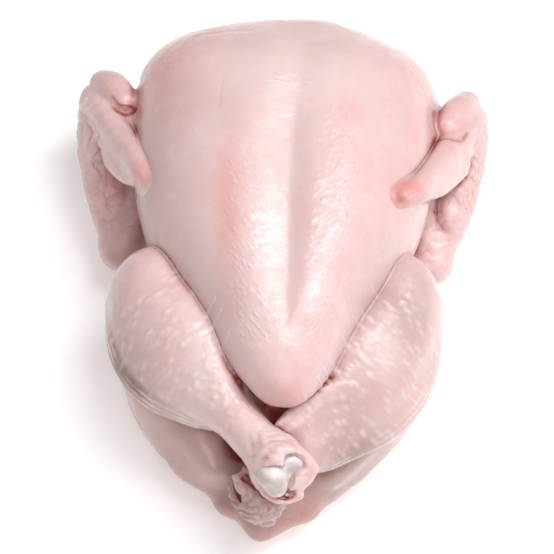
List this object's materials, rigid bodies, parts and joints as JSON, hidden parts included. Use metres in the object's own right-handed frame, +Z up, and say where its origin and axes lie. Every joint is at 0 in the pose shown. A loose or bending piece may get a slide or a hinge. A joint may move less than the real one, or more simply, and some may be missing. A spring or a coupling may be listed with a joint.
{
  "type": "whole raw chicken",
  "caption": "Whole raw chicken lying on its back, breast up, with folded wings, legs crossed over the open body cavity, and pale moist skin.",
  "frame": {"origin": "on the table under the middle of the bounding box", "axes": "+Y from the tail to the neck end, +Z up out of the breast, +X across the bird towards the leg that lies underneath"},
  "size_m": [0.203, 0.2572, 0.1111],
  "materials": {
    "skin": "moist satin, pale pink",
    "cartilage": "smooth wet, greyish white",
    "flesh": "wet, dark red"
  },
  "bodies": {
    "root": {"chicken": "skin"}
  },
  "joints": []
}
